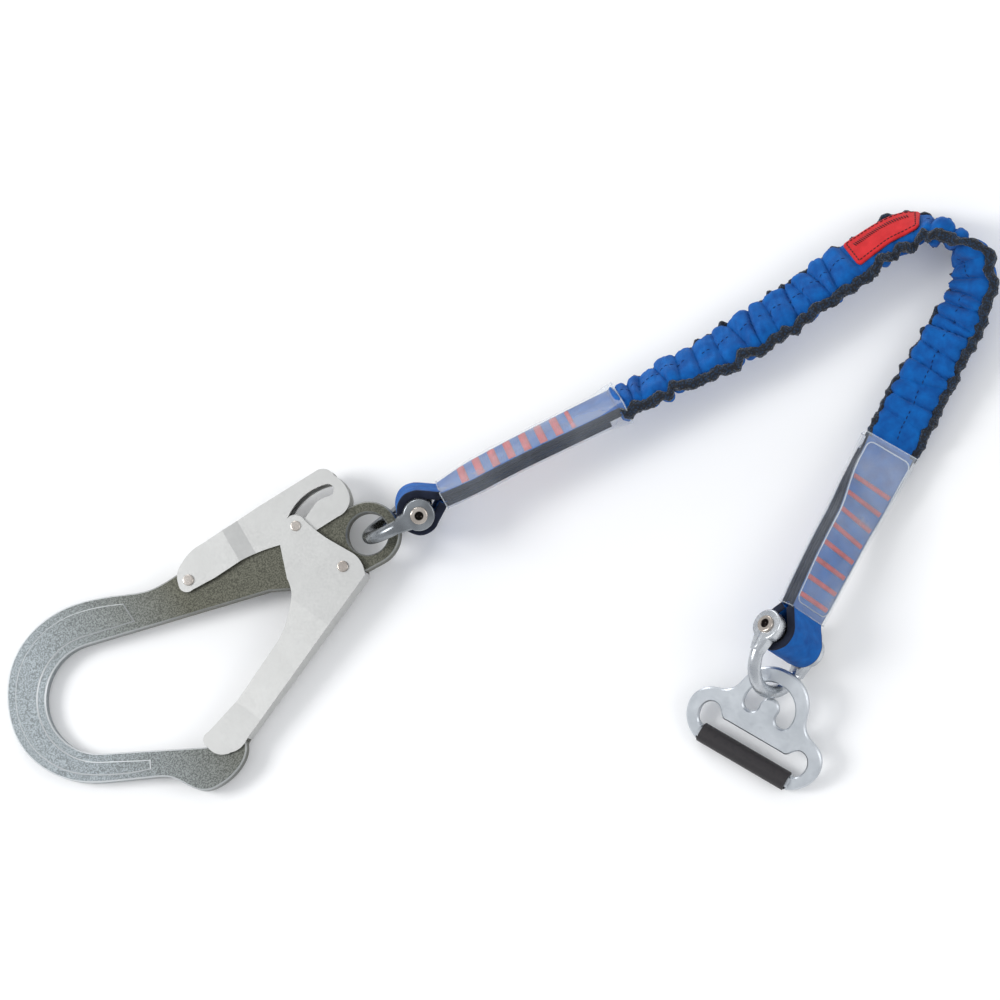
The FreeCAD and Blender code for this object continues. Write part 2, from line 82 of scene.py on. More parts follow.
# each end's bar tacks: the first bar's distance from that end, the pitch, and how long a bar is
TACKS = {1: (28.8, 9.6, 4.4), 2: (22.4, 10.2, 2.8)}
TACK_BARS = 8
TACK_HALF = 12.2                # half of how far a bar reaches across the strap

# ---- photograph's viewing direction ------------------------------------------
HOOK_ANGLE = math.radians(30.05)
HOOK_TILT = math.radians(3.0)
VIEW_DIR = Vector((0.133, -0.16, 0.978)).normalized()
AIM = Vector((93.5, 74.1, 12.0))
VIEW_WIDTH = 0.552
CAMERA_DISTANCE = 3.0


def turned(v, angle):
    c, s = math.cos(angle), math.sin(angle)
    return Vector((v.x * c - v.y * s, v.x * s + v.y * c, v.z))


def make_camera():
    data = bpy.data.cameras.new("camera")
    camera = bpy.data.objects.new("camera", data)
    bpy.context.scene.collection.objects.link(camera)
    back = turned(VIEW_DIR, -HOOK_ANGLE)
    across = turned(Vector((0, 1, 0)).cross(VIEW_DIR).normalized(), -HOOK_ANGLE)
    up = back.cross(across)
    turn = Matrix((across, up, back)).transposed().to_4x4()
    camera.matrix_world = Matrix.Translation(AIM * MM + back * CAMERA_DISTANCE) @ turn
    data.lens = data.sensor_width * CAMERA_DISTANCE / VIEW_WIDTH
    data.clip_end = 20
    bpy.context.scene.camera = camera


make_camera()


# ---- strap geometry ------------------------------------------------------------

def read_centreline():
    """The strap's line: the route's points steer a smooth curve, read back as points."""
    curve = bpy.data.curves.new("strap_line", "CURVE")
    curve.dimensions = "3D"
    curve.resolution_u = 24
    spline = curve.splines.new("NURBS")
    spline.points.add(len(ROUTE) - 1)
    for point, at in zip(spline.points, ROUTE):
        point.co = (*((Vector(at) + ORIGIN_SHIFT) * MM), 1)
    spline.order_u = 3
    spline.use_endpoint_u = True
    obj = bpy.data.objects.new("strap_line", curve)
    bpy.context.scene.collection.objects.link(obj)
    mesh = bpy.data.meshes.new_from_object(obj)
    points = [v.co.copy() for v in mesh.vertices]
    bpy.data.objects.remove(obj)
    bpy.data.meshes.remove(mesh)
    return points


def smooth(t):
    t = min(max(t, 0.0), 1.0)
    return t * t * (3 - 2 * t)


def roll_at(s):
    for (s0, a0), (s1, a1) in zip(ROLL, ROLL[1:]):
        if s <= s1:
            return math.radians(a0 + (a1 - a0) * smooth((s - s0) / (s1 - s0)))
    return math.radians(ROLL[-1][1])


LINE = read_centreline()
AT = [0.0]
for before, after in zip(LINE, LINE[1:]):
    AT.append(AT[-1] + (after - before).length)
LINE_LEN = AT[-1]


def line_point(s):
    """Point at s millimetres of the CAD strap, scaled to the curve's own length."""
    want = min(max(s / STRAP_LEN, 0.0), 1.0) * LINE_LEN
    low = min(bisect.bisect(AT, want) - 1, len(AT) - 2)
    t = (want - AT[low]) / max(AT[low + 1] - AT[low], 1e-9)
    return LINE[low].lerp(LINE[low + 1], t)


def make_frames():
    """At each step: the strap's middle, its direction, and the directions across and out of face A."""
    frames = []
    for i in range(int(STRAP_LEN / FRAME_STEP) + 2):
        s = i * FRAME_STEP
        travel = (line_point(s + TRAVEL_SPAN) - line_point(s - TRAVEL_SPAN)).normalized()
        right = travel.cross(Vector((0, 0, 1))).normalized()
        up = right.cross(travel).normalized()
        roll = roll_at(s)
        width = up * math.cos(roll) + right * math.sin(roll)
        face = up * math.sin(roll) - right * math.cos(roll)
        frames.append((line_point(s), travel, width, face))
    return frames


FRAMES = make_frames()


def on_strap(s, w, n):
    """The point at s along, w across and n out of face A, all in millimetres."""
    i = min(max(int(s / FRAME_STEP), 0), len(FRAMES) - 2)
    t = s / FRAME_STEP - i
    p0, _, w0, f0 = FRAMES[i]
    p1, _, w1, f1 = FRAMES[i + 1]
    width = w0.lerp(w1, t).normalized()
    face = f0.lerp(f1, t).normalized()
    return p0.lerp(p1, t) + (width * w + face * n) * MM


def face_normal(s, side):
    i = min(int(s / FRAME_STEP), len(FRAMES) - 1)
    return FRAMES[i][3] * side


def at_end(end, s):
    """Distance along the strap from an end's own distance."""
    return s if end == 1 else STRAP_LEN - s


# ---- mesh helpers ----------------------------------------------------------------

def new_mesh(name, verts, faces, materials, uvs=None, slots=None):
    """Smooth-shaded mesh object; uvs go with its points, and slots give each face its material."""
    mesh = bpy.data.meshes.new(name)
    mesh.from_pydata([tuple(v) for v in verts], [], faces)
    obj = bpy.data.objects.new(name, mesh)
    bpy.context.scene.collection.objects.link(obj)
    for material in materials:
        mesh.materials.append(material)
    if slots:
        mesh.polygons.foreach_set("material_index", slots)
    mesh.polygons.foreach_set("use_smooth", [True] * len(mesh.polygons))
    if uvs:
        layer = mesh.uv_layers.new(name="UVMap")
        for loop in mesh.loops:
            layer.data[loop.index].uv = uvs[loop.vertex_index]
    mesh.update()
    return obj


def tube_mesh(name, rings, materials, caps=True, uvs=None, slot_of=None):
    """Quads between closed rings of equal count; slot_of(j) picks the material of strip j."""
    count = len(rings[0])
    verts = [p for ring in rings for p in ring]
    faces = []
    slots = []
    for i in range(len(rings) - 1):
        for j in range(count):
            k = (j + 1) % count
            faces.append((i * count + j, i * count + k, (i + 1) * count + k, (i + 1) * count + j))
            slots.append(slot_of(j) if slot_of else 0)
    if caps:
        faces.append(tuple(reversed(range(count))))
        faces.append(tuple((len(rings) - 1) * count + j for j in range(count)))
        slots += [0, 0]
    return new_mesh(name, verts, faces, materials, uvs, slots)


def sweep(name, s0, s1, step, section, materials, caps=True, slot_of=None):
    """Closed section(s) of (w, n) pairs carried along the strap, with lengthways UVs."""
    count = max(2, int((s1 - s0) / step) + 1)
    rings = []
    uvs = []
    for i in range(count):
        s = s0 + (s1 - s0) * i / (count - 1)
        shape = section(s)
        rings.append([on_strap(s, w, n) for w, n in shape])
        around = 0.0
        last = shape[0]
        for w, n in shape:
            around += math.hypot(w - last[0], n - last[1])
            last = (w, n)
            uvs.append((s * 0.1, around * 0.1))
    return tube_mesh(name, rings, materials, caps, uvs, slot_of)


def rounded(w0, w1, n0, n1, r, face_points, corner=4):
    """Rounded rectangle of (w, n) pairs, anticlockwise, with extra points on its faces."""
    points = []
    middles = [(w1 - r, n1 - r), (w0 + r, n1 - r), (w0 + r, n0 + r), (w1 - r, n0 + r)]
    for k, (cw, cn) in enumerate(middles):
        for i in range(corner + 1):
            a = math.radians(90 * k + 90 * i / corner)
            points.append((cw + r * math.cos(a), cn + r * math.sin(a)))
        if k in (0, 2):
            next_w = middles[k + 1][0]
            face_n = points[-1][1]
            for i in range(1, face_points + 1):
                points.append((cw + (next_w - cw) * i / (face_points + 1), face_n))
    return points


def edge_strips(shape, limit):
    """Tells a section's strips past limit across the strap, 1, from the others, 0."""
    def slot_of(j):
        nearest = min(abs(shape[j][0]), abs(shape[(j + 1) % len(shape)][0]))
        return 1 if nearest > limit else 0
    return slot_of


def thread_dashes(name, dashes, radius, material):
    """Short raised threads: each dash is a run of points, tapered at both ends."""
    verts = []
    faces = []
    around = 6
    for points, out in dashes:
        base = len(verts)
        for i, p in enumerate(points):
            t = i / (len(points) - 1)
            size = radius * (0.35 + 0.65 * math.sin(math.pi * min(max(t, 0.06), 0.94)) ** 0.5)
            ahead = (points[min(i + 1, len(points) - 1)] - points[max(i - 1, 0)]).normalized()
            side = ahead.cross(out).normalized()
            for k in range(around):
                a = 2 * math.pi * k / around
                verts.append(p + (side * math.cos(a) + out * math.sin(a)) * size * MM)
        for i in range(len(points) - 1):
            for k in range(around):
                m = (k + 1) % around
                faces.append((base + i * around + k, base + i * around + m,
                              base + (i + 1) * around + m, base + (i + 1) * around + k))
        faces.append(tuple(base + k for k in reversed(range(around))))
        faces.append(tuple(base + (len(points) - 1) * around + k for k in range(around)))
    return new_mesh(name, verts, faces, [material])


# ---- material nodes --------------------------------------------------------------

def node_material(name, color, roughness, metallic=0.0):
    material = bpy.data.materials.new(name)
    material.use_nodes = True
    tree = material.node_tree
    shader = tree.nodes["Principled BSDF"]
    shader.inputs["Base Color"].default_value = (*color, 1)
    shader.inputs["Roughness"].default_value = roughness
    shader.inputs["Metallic"].default_value = metallic
    return material, tree, shader


def feed(tree, socket, value):
    """Links a socket to another node's output, or sets it to a plain value."""
    if isinstance(value, bpy.types.NodeSocket):
        tree.links.new(value, socket)
    else:
        socket.default_value = value


def coordinates(tree, kind="Object"):
    return tree.nodes.new("ShaderNodeTexCoord").outputs[kind]


def add_noise(tree, scale, detail=4.0):
    texture = tree.nodes.new("ShaderNodeTexNoise")
    texture.inputs["Scale"].default_value = scale
    texture.inputs["Detail"].default_value = detail
    tree.links.new(coordinates(tree), texture.inputs["Vector"])
    return texture.outputs["Fac"]


def ramp(tree, value, stops):
    node = tree.nodes.new("ShaderNodeValToRGB")
    elements = node.color_ramp.elements
    while len(elements) < len(stops):
        elements.new(0.5)
    for element, (at, color) in zip(elements, stops):
        element.position = at
        element.color = (*color, 1)
    tree.links.new(value, node.inputs["Fac"])
    return node.outputs["Color"]


def map_range(tree, value, start, stop, low=0.0, high=1.0):
    node = tree.nodes.new("ShaderNodeMapRange")
    node.inputs["From Min"].default_value = start
    node.inputs["From Max"].default_value = stop
    node.inputs["To Min"].default_value = low
    node.inputs["To Max"].default_value = high
    tree.links.new(value, node.inputs["Value"])
    return node.outputs["Result"]


def spread(tree, grain, low, high):
    """Takes the middle range of a noise to low .. high."""
    return map_range(tree, grain, 0.3, 0.7, low, high)


def calculate(tree, operation, *values):
    node = tree.nodes.new("ShaderNodeMath")
    node.operation = operation
    for socket, value in zip(node.inputs, values):
        feed(tree, socket, value)
    return node.outputs["Value"]


def compare_vectors(tree, operation, vector, fixed):
    node = tree.nodes.new("ShaderNodeVectorMath")
    node.operation = operation
    node.inputs[1].default_value = fixed
    tree.links.new(vector, node.inputs[0])
    return node.outputs["Value"]


def mix_colors(tree, factor, a, b, blend="MIX"):
    node = tree.nodes.new("ShaderNodeMix")
    node.data_type = "RGBA"
    node.blend_type = blend
    feed(tree, node.inputs["Factor"], factor)
    feed(tree, node.inputs["A"], a)
    feed(tree, node.inputs["B"], b)
    return node.outputs["Result"]


def bump(tree, shader, height, strength, distance):
    node = tree.nodes.new("ShaderNodeBump")
    node.inputs["Strength"].default_value = strength
    node.inputs["Distance"].default_value = distance
    tree.links.new(height, node.inputs["Height"])
    tree.links.new(node.outputs["Normal"], shader.inputs["Normal"])


# ---- materials -------------------------------------------------------------------

def metal(name, dark, light, rough_low, rough_high, grain=900.0, relief=0.15, metallic=1.0):
    """Plated or bare metal: cloudy tone, fine grain in the surface and uneven sheen."""
    material, tree, shader = node_material(name, light, rough_high, metallic)
    cloud = add_noise(tree, 70.0, 5.0)
    tree.links.new(ramp(tree, cloud, [(0.32, dark), (0.68, light)]), shader.inputs["Base Color"])
    fine = add_noise(tree, grain, 3.0)
    tree.links.new(spread(tree, fine, rough_low, rough_high), shader.inputs["Roughness"])
    bump(tree, shader, fine, relief, 0.0002)
    return material


def painted_shade_pin_metal(name, dimple):
    """Bare pin: its warm tint is a painted reflection, and painted shade darkens the hollow of its head
    round the dimple's middle.
    """
    # painted reflection: the warm brownish tone stands for warm surroundings mirrored in bare steel
    material = metal(name, (0.36, 0.31, 0.27), (0.62, 0.57, 0.52), 0.15, 0.28, 1200.0, 0.1)
    tree = material.node_tree
    base_color = tree.nodes["Principled BSDF"].inputs["Base Color"]
    tone = base_color.links[0].from_socket
    # painted shade: near black inside the head's hollow, going over to the metal's tone past the dimple's
    # edge
    away = compare_vectors(tree, "DISTANCE", coordinates(tree), dimple)
    outside = map_range(tree, away, 0.0022, 0.0028)
    tree.links.new(mix_colors(tree, outside, (0.012, 0.010, 0.009, 1), tone), base_color)
    return material


def hook_finish():
    """Speckled coating on the shank that goes over to bluish bare steel on the bow, with painted highlights
    on slanted rims and bevels.
    """
    material, tree, shader = node_material("hook_coating", (0.2, 0.2, 0.18), 0.45, 0.75)
    split = tree.nodes.new("ShaderNodeSeparateXYZ")
    tree.links.new(coordinates(tree), split.inputs["Vector"])
    bow_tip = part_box("hook_body")[0][0]
    on_shank = map_range(tree, split.outputs["X"], bow_tip + 0.03, bow_tip + 0.12)
    tone = mix_colors(tree, on_shank, (0.27, 0.30, 0.32, 1), (0.115, 0.115, 0.092, 1))
    speckle = add_noise(tree, 1250.0, 8.0)
    flecks = ramp(tree, speckle, [(0.40, (0.50, 0.50, 0.48)), (0.60, (1.35, 1.35, 1.32))])
    coated = mix_colors(tree, 0.8, tone, flecks, "MULTIPLY")

    # painted highlight: the slanted faces of rims and bevels are painted bright, as lamplight on chamfers
    # would make them, most of all on the bow
    out_of_flat = (-math.sin(HOOK_TILT), 0, math.cos(HOOK_TILT))
    facing = compare_vectors(tree, "DOT_PRODUCT", coordinates(tree, "Normal"), out_of_flat)
    slanted = ramp(tree, calculate(tree, "ABSOLUTE", facing),
                   [(0.3, (0, 0, 0)), (0.45, (1, 1, 1)), (0.9, (1, 1, 1)), (0.99, (0, 0, 0))])
    painted_highlight = calculate(tree, "MULTIPLY", slanted, map_range(tree, on_shank, 0.0, 1.0, 1.0, 0.3))
    tree.links.new(mix_colors(tree, painted_highlight, coated, (0.66, 0.68, 0.69, 1)), shader.inputs["Base Color"])
    tree.links.new(spread(tree, speckle, 0.34, 0.5), shader.inputs["Roughness"])
    bump(tree, shader, speckle, 0.25, 0.0002)
    return material


def woven(name, dark, light, pitch=9.0, roughness=0.85, strength=0.35):
    """Cloth: crossed threads along the piece's own UVs, with faded and darker patches."""
    material, tree, shader = node_material(name, light, roughness)
    shader.inputs["Sheen Weight"].default_value = 0.06
    shader.inputs["Specular IOR Level"].default_value = 0.2
    shader.inputs["Sheen Roughness"].default_value = 0.5
    along_piece = coordinates(tree, "UV")
    heights = []
    for direction in ("X", "Y"):
        wave = tree.nodes.new("ShaderNodeTexWave")
        wave.bands_direction = direction
        wave.inputs["Scale"].default_value = pitch
        wave.inputs["Distortion"].default_value = 0.6
        tree.links.new(along_piece, wave.inputs["Vector"])
        heights.append(wave.outputs["Fac"])
    bump(tree, shader, calculate(tree, "MULTIPLY", *heights), strength, 0.0003)
    cloud = add_noise(tree, 160.0, 6.0)
    tree.links.new(ramp(tree, cloud, [(0.3, dark), (0.7, light)]), shader.inputs["Base Color"])
    return material


def knitted(name, dark, light):
    """Looped elastic edging: small cells of navy yarn, with painted shade dark between the loops."""
    material, tree, shader = node_material(name, light, 0.9)
    shader.inputs["Sheen Weight"].default_value = 0.2
    cells = tree.nodes.new("ShaderNodeTexVoronoi")
    cells.inputs["Scale"].default_value = 750.0
    tree.links.new(coordinates(tree), cells.inputs["Vector"])
    away = cells.outputs["Distance"]
    # painted shade: the colour goes dark between the loops, where the knit's hollows lie
    tree.links.new(ramp(tree, away, [(0.1, light), (0.6, dark)]), shader.inputs["Base Color"])
    bump(tree, shader, away, 0.9, 0.0008)
    return material


def vinyl(name, low, high):
    """Clear sheet gone milky: the haze comes and goes between the two strengths."""
    material, tree, shader = node_material(name, (0.66, 0.71, 0.76), 0.22)
    shader.inputs["IOR"].default_value = 1.5
    haze = add_noise(tree, 45.0, 3.0)
    tree.links.new(spread(tree, haze, low, high), shader.inputs["Alpha"])
    tree.links.new(spread(tree, haze, 0.14, 0.3), shader.inputs["Roughness"])
    bump(tree, shader, haze, 0.2, 0.002)
    return material


def rubber():
    material, tree, shader = node_material("roller_rubber", (0.012, 0.010, 0.012), 0.55)
    grit = add_noise(tree, 700.0)
    tree.links.new(spread(tree, grit, 0.45, 0.7), shader.inputs["Roughness"])
    tone = ramp(tree, grit, [(0.3, (0.008, 0.007, 0.009)), (0.7, (0.022, 0.018, 0.020))])
    tree.links.new(tone, shader.inputs["Base Color"])
    bump(tree, shader, grit, 0.2, 0.0002)
    return material


HOOK = hook_finish()
SHEET = metal("sheet_zinc", (0.585, 0.585, 0.57), (0.615, 0.615, 0.60), 0.32, 0.40, 900.0, 0.06)
# painted reflection: the rivets' warm brownish tone stands for warm surroundings mirrored in bare steel
RIVET = metal("rivet_steel", (0.42, 0.37, 0.33), (0.68, 0.63, 0.58), 0.18, 0.32, 1200.0, 0.1)
SPRING = metal("spring_steel", (0.30, 0.30, 0.31), (0.5, 0.5, 0.5), 0.2, 0.35)
DARK_ZINC = metal("shackle_dark", (0.14, 0.15, 0.16), (0.30, 0.32, 0.34), 0.18, 0.34, 800.0, 0.15)
BRIGHT_ZINC = metal("shackle_zinc", (0.40, 0.42, 0.45), (0.62, 0.64, 0.66), 0.2, 0.34, 800.0, 0.12)
PLATE_ZINC = metal("plate_zinc", (0.50, 0.53, 0.56), (0.62, 0.65, 0.68), 0.32, 0.46, 700.0, 0.1)
RUBBER = rubber()
BUSH = metal("bush_plastic", (0.02, 0.02, 0.025), (0.04, 0.04, 0.045), 0.5, 0.7, 500.0, 0.1, 0.0)
BLUE = woven("blue_webbing", (0.0, 0.062, 0.27), (0.0, 0.115, 0.42))
NAVY = knitted("navy_elastic", (0.001, 0.003, 0.008), (0.006, 0.032, 0.080))
SELVEDGE = woven("dark_selvedge", (0.006, 0.009, 0.02), (0.015, 0.02, 0.04), 12.0)
CORE = woven("core_webbing", (0.55, 0.54, 0.50), (0.72, 0.71, 0.66))
RED_THREAD = woven("red_thread", (0.42, 0.02, 0.02), (0.62, 0.05, 0.05), 14.0)
RED_LABEL = woven("red_label", (0.48, 0.012, 0.016), (0.62, 0.022, 0.026), 16.0, 0.7, 0.2)
DARK_THREAD = woven("dark_thread", (0.02, 0.008, 0.01), (0.05, 0.015, 0.02), 14.0)
NAVY_THREAD = woven("navy_thread", (0.002, 0.008, 0.05), (0.004, 0.015, 0.08), 14.0)
VINYL = vinyl("clear_vinyl", 0.18, 0.36)
VINYL_EDGE = vinyl("clear_vinyl_edge", 0.06, 0.13)
WELD = vinyl("clear_vinyl_weld", 0.35, 0.7)

RIGID = {
    "hook_body": HOOK, "gate": SHEET, "safety_lever": SHEET, "gate_rivet": RIVET,
    "lever_rivet": RIVET, "lock_pin": RIVET, "gate_spring": SPRING, "lever_spring": SPRING,
    "shackle_1": DARK_ZINC, "shackle_2": BRIGHT_ZINC, "harness_plate": PLATE_ZINC, "roller": RUBBER,
    "bush_1": BUSH, "bush_2": BUSH, "absorber_core": CORE,
}
PIN_TOP = 25.0                  # how far the head of a shackle pin stands from the strap's middle
# the middle of each pin head, round which its painted shade lies
for end, s, upward in ((1, 0.0, 1), (2, STRAP_LEN, -1)):
    head = on_strap(s, PIN_TOP * upward, 0)
    RIGID[f"shackle_{end}_pin"] = painted_shade_pin_metal(f"pin_{end}_steel", tuple(head))
for name, material in RIGID.items():
    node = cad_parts[name]
    node.data.materials.clear()
    node.data.materials.append(material)


def piece(obj, slot, *nodes):
    """A strap piece: rides on the strap body and stands for the named CAD nodes."""
    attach(obj, "strap")
    if nodes:
        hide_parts(*nodes)
    return obj


# ---- gathered elastic cover ----------------------------------------------------------

# where a crease crosses the middle of the face, its slant and bow there, how deep it is, and how
# full the pleat after it stands and leans
Crease = collections.namedtuple("Crease", "at slant bow depth full lean")


class Folds:
    """Pleats across one face: the creases between them, and how full each pleat stands."""

    def __init__(self, seed):
        r = random.Random(seed)
        self.creases = []
        s = COVER_START - 4.0
        while s < COVER_END + 14:
            self.creases.append(Crease(at=s, slant=r.uniform(-0.20, 0.20), bow=r.uniform(-0.006, 0.006),
                                       depth=r.uniform(0.6, 1.0), full=r.uniform(0.62, 1.2),
                                       lean=r.uniform(0.6, 1.6)))
            s += r.choice((r.uniform(5.5, 8), r.uniform(9, 12), r.uniform(10, 14)))
        self.places = [crease.at for crease in self.creases]

    def line(self, i, w):
        """Where crease i lies at w across the face."""
        crease = self.creases[i]
        return crease.at + crease.slant * w + crease.bow * w * w

    def height(self, s, w):
        """From 0 in a deep crease to about 1 on a full pleat."""
        last = len(self.creases) - 2
        i = min(max(bisect.bisect(self.places, s) - 1, 0), last)
        while i > 0 and self.line(i, w) > s:
            i -= 1
        while i < last and self.line(i + 1, w) <= s:
            i += 1
        left, right = self.line(i, w), self.line(i + 1, w)
        t = min(max((s - left) / max(right - left, 0.5), 0.0), 1.0)
        crease, following = self.creases[i], self.creases[i + 1]
        bulge = max(4 * t ** crease.lean * (1 - t ** crease.lean), 0.0) ** 0.48
        depth = crease.depth * (1 - t) + following.depth * t
        return crease.full * (1 - (1 - bulge) * depth)


FOLDS = {1: Folds(5), -1: Folds(9)}
CALM_START = 6.0                # the pleats come up over this length from the cover's start
CALM_END = 36.0                 # and over this length from its end
LABEL_HOLD = 5.0                # and go down over this length on either side of the label
PLEAT_H = 5.4
PLEAT_SINK = 1.9                # how much lower the gathered cloth lies between its pleats
CORE_CLEAR = 3.0                # the cover never comes nearer to the strap's middle
ACROSS = 30                     # spans across each face
EDGE_REACH = 3.4                # how far a full pleat pushes the edge out
COVER_STEP = 0.55


def looseness(s, side):
    """How free the cover is to gather: less under the label and at its sewn ends."""
    free = smooth((s - COVER_START + 2) / CALM_START) * smooth((COVER_END - s + 2) / CALM_END)
    if side > 0:
        past_start = smooth((s - LABEL[0] + LABEL_HOLD) / LABEL_HOLD)
        before_end = smooth((LABEL[1] + LABEL_HOLD - s) / LABEL_HOLD)
        free *= 1 - 0.85 * (past_start * before_end)
    return free


def face_height(s, w, side):
    """How far the cover's face stands from the strap's middle."""
    pleat = FOLDS[side].height(s, w)
    free = 0.12 + 0.88 * looseness(s, side)
    wander = noise.noise(Vector((s * 0.11, w * 0.12, side * 7.0)))
    wrinkle = noise.noise(Vector((s * 0.42 + w * 0.10 * side, w * 0.07, 11.0 + side)))
    crown = 1 - 0.22 * (w / FACE_HALF) ** 2
    gathered = free * (PLEAT_H * pleat + 0.7 * wander + 0.55 * wrinkle)
    return max((COVER_HALF_T - PLEAT_SINK * free) * crown + gathered, CORE_CLEAR)


def edge_reach(s, edge):
    """How far the cover's edge stands out at s; edge is 1 or -1."""
    pillow = 0.5 * (FOLDS[1].height(s, edge * FACE_HALF) + FOLDS[-1].height(s, edge * FACE_HALF))
    free = 0.2 + 0.8 * 0.5 * (looseness(s, 1) + looseness(s, -1))
    return free * (pillow - 0.6) * EDGE_REACH


def cover_section(s):
    points = []
    for side in (1, -1):
        for i in range(ACROSS + 1):
            x = side * (1 - 2 * i / ACROSS)
            w = x * (FACE_HALF + 1.0 + edge_reach(s, 1 if x > 0 else -1))
            closing = 1 - abs(x) ** 8 * 0.75
            points.append((w, side * face_height(s, w, side) * closing))
    return points


cover = sweep("elastic_cover_cloth", COVER_START, COVER_END, COVER_STEP, cover_section, [BLUE])
piece(cover, "blue_webbing", "elastic_cover")

# each edging: its number, its middle across the strap, and how fat it is
EDGINGS = {1: (1, 13.9, 1.0), -1: (2, 13.0, 0.8)}
EDGING_POINTS = 22


def ruffle_section(edge):
    """Dark knitted edging: a fat rounded band that waves with the gathers."""
    _, middle, fatness = EDGINGS[edge]
    seed = 20.0 * edge

    def section(s):
        free = 0.35 + 0.65 * looseness(s, -1)
        sway = noise.noise(Vector((s * 0.16, seed, 1.3))) * 4.6 * free
        out = noise.noise(Vector((s * 0.19, seed, 5.1))) * 2.4 * free
        reach = sum(edge_reach(s + d, edge) for d in (-3, -1.5, 0, 1.5, 3)) / 5
        centre_w = middle + reach * 0.8 + out
        fat = fatness * (1 + 0.22 * noise.noise(Vector((s * 0.3, seed, 8.7))))
        points = []
        for i in range(EDGING_POINTS):
            a = 2 * math.pi * i / EDGING_POINTS
            lump = 1 + 0.22 * noise.noise(Vector((s * 0.9, math.cos(a) * 1.6 + seed, math.sin(a) * 1.6)))
            half_w = (3.0 if math.cos(a) * edge > 0 else 2.6) * fat * lump
            half_n = 3.5 * fat * lump
            points.append((edge * centre_w + half_w * math.cos(a), sway + half_n * math.sin(a)))
        return points
    return section


for edge, (number, _, _) in EDGINGS.items():
    band = sweep(f"knitted_edge_{number}", COVER_START + 1, COVER_END - 1, 0.7, ruffle_section(edge), [NAVY])
    piece(band, "navy_elastic", f"edge_elastic_{number}")


def midline_stitches():
    """The stitches that hold the cover to the core, some of them lost in the gathers."""
    dashes = []
    pitch = 3.1
    for side in (1, -1):
        s = COVER_START + 6
        while s < COVER_END - 6:
            under_label = side > 0 and LABEL[0] - 3 < s < LABEL[1] + 1
            if not under_label and rng.random() < 0.7:
                w = 1.5 + 0.8 * noise.noise(Vector((s * 0.08, side, 0)))
                run = [on_strap(s + d, w, side * (face_height(s + d, w, side) + 0.12))
                       for d in (0, 0.6, 1.2, 1.8)]
                dashes.append((run, face_normal(s, side)))
            s += pitch
    return thread_dashes("cover_stitching", dashes, 0.24, NAVY_THREAD)


stitching = piece(midline_stitches(), "navy_elastic")


# ---- label ---------------------------------------------------------------------------

LABEL_ROWS = 46
LABEL_COLUMNS = 24
LABEL_CORNER = 2.2
LABEL_INSET = 2.0               # from the label's border to its stitches
STITCH_PITCH = 2.3
BAND_STITCHES = 26
BAND_W = -3.4                   # the stitched band's place across the label


def label_height(s, w):
    """The label follows the cover under it a little, and bridges its gathers."""
    near = max(face_height(s + d, w, 1) for d in (-2, 0, 2))
    return near * 0.35 + 0.65 * (COVER_HALF_T + 1.5 - 0.9 * (w / LABEL_HALF) ** 2) + 0.35


def label_patch():
    top = []
    low = []
    for i in range(LABEL_ROWS + 1):
        s = LABEL[0] + (LABEL[1] - LABEL[0]) * (i / LABEL_ROWS)
        end = min(s - LABEL[0], LABEL[1] - s)
        past_corner = LABEL_CORNER - min(end, LABEL_CORNER)
        cut = LABEL_CORNER - math.sqrt(max(LABEL_CORNER ** 2 - past_corner ** 2, 0))
        half = LABEL_HALF - cut
        for j in range(LABEL_COLUMNS + 1):
            w = half * (2 * j / LABEL_COLUMNS - 1)
            n = label_height(s, w)
            rim = 0.5 * smooth(1 - min(end, half - abs(w) + 0.01) / 0.9)
            top.append(on_strap(s, w, n + LABEL_T - rim))
            low.append(on_strap(s, w, n - 0.6))
    faces = []
    width = LABEL_COLUMNS + 1
    offset = len(top)
    for i in range(LABEL_ROWS):
        for j in range(LABEL_COLUMNS):
            a = i * width + j
            faces.append((a, a + 1, a + width + 1, a + width))
            faces.append((offset + a, offset + a + width, offset + a + width + 1, offset + a + 1))
    border = list(range(width))
    border += [i * width + LABEL_COLUMNS for i in range(1, LABEL_ROWS + 1)]
    border += [LABEL_ROWS * width + j for j in reversed(range(LABEL_COLUMNS))]
    border += [i * width for i in reversed(range(1, LABEL_ROWS))]
    for a, b in zip(border, border[1:] + border[:1]):
        faces.append((a, offset + a, offset + b, b))
    uvs = [(i // width * 0.09, (i % width) * 0.085) for i in range(offset)] * 2
    return new_mesh("label_patch", top + low, faces, [RED_LABEL], uvs)


label = piece(label_patch(), "red_label", "label")


def on_label(s, w, lean=0.0):
    """A stitch's point on the label at s and w, moved along by its lean."""
    return on_strap(s + lean, w, label_height(s, w) + LABEL_T + 0.1)


def label_threads():
    """A line of stitches inside the label's border, and a plain stitched band beside its middle."""
    half = LABEL_HALF - LABEL_INSET
    s0, s1 = LABEL[0] + LABEL_INSET, LABEL[1] - LABEL_INSET
    corners = [(s0, -half), (s1, -half), (s1, half), (s0, half), (s0, -half)]
    dashes = []
    for (a_s, a_w), (b_s, b_w) in zip(corners, corners[1:]):
        count = int(math.hypot(b_s - a_s, b_w - a_w) / STITCH_PITCH)
        for k in range(count):
            run = []
            for d in (0.05, 0.3, 0.55, 0.75):
                t = (k + d) / count
                run.append(on_label(a_s + (b_s - a_s) * t, a_w + (b_w - a_w) * t))
            dashes.append((run, face_normal(a_s, 1)))
    for k in range(BAND_STITCHES):
        s = s0 + 3.5 + k * (s1 - s0 - 7) / (BAND_STITCHES - 1)
        run = [on_label(s, BAND_W + d, 0.25 * d) for d in (-1.5, -0.5, 0.5, 1.5)]
        dashes.append((run, face_normal(s, 1)))
    return thread_dashes("label_threads", dashes, 0.34, DARK_THREAD)


label_stitches = piece(label_threads(), "dark_thread", "label_stitching")


# ---- sewn ends: stacked webbing, loop and bar tacks -----------------------------------

